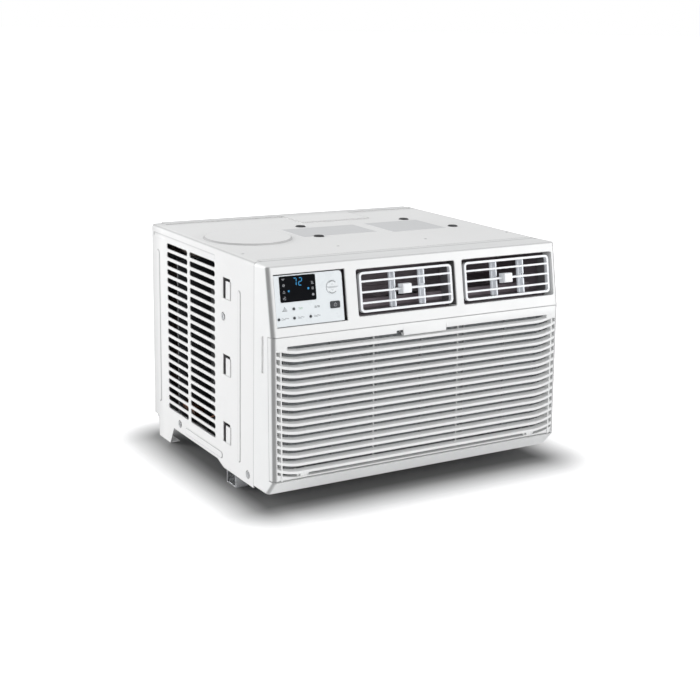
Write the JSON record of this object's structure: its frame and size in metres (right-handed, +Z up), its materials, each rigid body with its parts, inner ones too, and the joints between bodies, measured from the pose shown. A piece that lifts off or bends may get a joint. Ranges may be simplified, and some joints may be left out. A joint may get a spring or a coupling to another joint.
{
  "type": "window air conditioner",
  "caption": "Window air conditioner with a steel case on folded feet, a moulded front with a tilting intake grille, two outlet vents and a small control panel.",
  "frame": {"origin": "on the floor under the middle of the overall box", "axes": "+X to the right seen from the room, -Y towards the room, +Z up"},
  "size_m": [0.472, 0.404, 0.334],
  "materials": {
    "cabinet_paint": "satin powder coat",
    "base_steel": "galvanised",
    "bezel_plastic": "fine satin moulded",
    "grille_plastic": "fine satin moulded",
    "vent_plastic": "satin moulded",
    "filter_plastic": "moulded",
    "filter_net": "woven net",
    "overlay_film": "satin printed",
    "display_lens": "polished",
    "power_key_plastic": "satin",
    "temp_key_plastic": "satin",
    "dot_key_plastic": "satin",
    "board_green": "solder mask",
    "box_plastic": "moulded",
    "can_aluminium": "drawn",
    "fin_aluminium": "bare foil",
    "copper": "drawn copper tube",
    "compressor_paint": "semi-gloss",
    "black_rubber": "moulded",
    "zinc_steel": "zinc plated",
    "duct_foam": "moulded foam",
    "shroud_plastic": "moulded",
    "motor_paint": "satin",
    "fan_plastic": "moulded",
    "label_film": "satin film",
    "plug_rubber": "moulded",
    "seal_foam": "foam",
    "wire_sleeve": "sleeved"
  },
  "bodies": {
    "casing": {"cabinet": "cabinet_paint", "base_pan": "base_steel", "front_foot_left": "zinc_steel", "front_foot_right": "zinc_steel", "front_bezel": "bezel_plastic", "control_overlay": "overlay_film", "display_window": "display_lens", "control_board": "board_green", "control_box": "box_plastic", "capacitor": "can_aluminium", "evaporator_fins": "fin_aluminium", "evaporator_tubes": "copper", "condenser_fins": "fin_aluminium", "condenser_tubes": "copper", "compressor": "compressor_paint", "accumulator": "compressor_paint", "compressor_grommets": "black_rubber", "compressor_bolts": "zinc_steel", "suction_line": "copper", "discharge_line": "copper", "capillary_line": "copper", "filter_drier": "copper", "scroll_housing": "duct_foam", "outlet_duct": "duct_foam", "bulkhead": "base_steel", "condenser_shroud": "shroud_plastic", "fan_motor": "motor_paint", "motor_bracket": "base_steel", "top_plugs": "plug_rubber", "top_labels": "label_film", "drain_plug": "black_rubber", "cord_grommet": "black_rubber", "cabinet_screws": "zinc_steel", "foam_seal": "seal_foam", "room_sensor": "box_plastic", "wire_harness": "wire_sleeve"},
    "grille": {"front_grille": "grille_plastic", "filter_frame": "filter_plastic", "filter_mesh": "filter_net"},
    "vent_left": {"vent_frame_left": "vent_plastic"},
    "vent_right": {"vent_frame_right": "vent_plastic"},
    "vane_left_a": {"vane_left_a": "vent_plastic"},
    "vane_left_b": {"vane_left_b": "vent_plastic"},
    "vane_right_a": {"vane_right_a": "vent_plastic"},
    "vane_right_b": {"vane_right_b": "vent_plastic"},
    "slider_left": {"vane_slider_left": "vent_plastic"},
    "slider_right": {"vane_slider_right": "vent_plastic"},
    "power_key": {"power_key": "power_key_plastic"},
    "temp_up_key": {"temp_up_key": "temp_key_plastic"},
    "temp_down_key": {"temp_down_key": "temp_key_plastic"},
    "timer_key": {"timer_key": "dot_key_plastic"},
    "mode_key": {"mode_key": "dot_key_plastic"},
    "fan_key": {"fan_key": "dot_key_plastic"},
    "sleep_key": {"sleep_key": "dot_key_plastic"},
    "rotor": {"motor_shaft": "zinc_steel", "blower_wheel": "fan_plastic", "condenser_fan": "fan_plastic"}
  },
  "joints": [
    {"name": "grille_tilt", "type": "hinge", "parent": "casing", "child": "grille", "pos_m": [0, -0.19576, 0.05198], "axis": [1, 0, 0], "range_deg": [0, 40]},
    {"name": "vent_left_tilt", "type": "hinge", "parent": "casing", "child": "vent_left", "pos_m": [-0.0245, -0.17359, 0.28506], "axis": [1, 0, 0], "range_deg": [-20, 20]},
    {"name": "vane_left_a_swing", "type": "hinge", "parent": "vent_left", "child": "vane_left_a", "pos_m": [-0.0405, -0.16916, 0.28424], "axis": [0, 0.1815, 0.9834], "range_deg": [-25, 25]},
    {"name": "vane_left_b_swing", "type": "hinge", "parent": "vent_left", "child": "vane_left_b", "pos_m": [0.0075, -0.16916, 0.28424], "axis": [0, 0.1815, 0.9834], "range_deg": [-25, 25]},
    {"name": "slider_left_slide", "type": "slide", "parent": "vent_left", "child": "slider_left", "axis": [1, 0, 0], "range_m": [-0.0038, 0.0038]},
    {"name": "vent_right_tilt", "type": "hinge", "parent": "casing", "child": "vent_right", "pos_m": [0.1473, -0.17359, 0.28506], "axis": [1, 0, 0], "range_deg": [-20, 20]},
    {"name": "vane_right_a_swing", "type": "hinge", "parent": "vent_right", "child": "vane_right_a", "pos_m": [0.1313, -0.16916, 0.28424], "axis": [0, 0.1815, 0.9834], "range_deg": [-25, 25]},
    {"name": "vane_right_b_swing", "type": "hinge", "parent": "vent_right", "child": "vane_right_b", "pos_m": [0.1793, -0.16916, 0.28424], "axis": [0, 0.1815, 0.9834], "range_deg": [-25, 25]},
    {"name": "slider_right_slide", "type": "slide", "parent": "vent_right", "child": "slider_right", "axis": [1, 0, 0], "range_m": [-0.0038, 0.0038]},
    {"name": "power_key_press", "type": "slide", "parent": "casing", "child": "power_key", "axis": [0, 0.9834, -0.1815], "range_m": [0, 0.0006], "stiffness_N_per_m": 600, "springref_m": -0.0008},
    {"name": "temp_up_key_press", "type": "slide", "parent": "casing", "child": "temp_up_key", "axis": [0, 0.9834, -0.1815], "range_m": [0, 0.0006], "stiffness_N_per_m": 600, "springref_m": -0.0008},
    {"name": "temp_down_key_press", "type": "slide", "parent": "casing", "child": "temp_down_key", "axis": [0, 0.9834, -0.1815], "range_m": [0, 0.0006], "stiffness_N_per_m": 600, "springref_m": -0.0008},
    {"name": "timer_key_press", "type": "slide", "parent": "casing", "child": "timer_key", "axis": [0, 0.9834, -0.1815], "range_m": [0, 0.0006], "stiffness_N_per_m": 600, "springref_m": -0.0008},
    {"name": "mode_key_press", "type": "slide", "parent": "casing", "child": "mode_key", "axis": [0, 0.9834, -0.1815], "range_m": [0, 0.0006], "stiffness_N_per_m": 600, "springref_m": -0.0008},
    {"name": "fan_key_press", "type": "slide", "parent": "casing", "child": "fan_key", "axis": [0, 0.9834, -0.1815], "range_m": [0, 0.0006], "stiffness_N_per_m": 600, "springref_m": -0.0008},
    {"name": "sleep_key_press", "type": "slide", "parent": "casing", "child": "sleep_key", "axis": [0, 0.9834, -0.1815], "range_m": [0, 0.0006], "stiffness_N_per_m": 600, "springref_m": -0.0008},
    {"name": "fan_spin", "type": "hinge", "parent": "casing", "child": "rotor", "pos_m": [0.055, 0, 0.172], "axis": [0, 1, 0], "continuous": true}
  ],
  "couplings": [
    {"joint": "vane_left_a_swing", "follows": "slider_left_slide", "rad_per_m": 114.55},
    {"joint": "vane_left_b_swing", "follows": "slider_left_slide", "rad_per_m": 114.55},
    {"joint": "vane_right_a_swing", "follows": "slider_right_slide", "rad_per_m": 114.55},
    {"joint": "vane_right_b_swing", "follows": "slider_right_slide", "rad_per_m": 114.55}
  ]
}
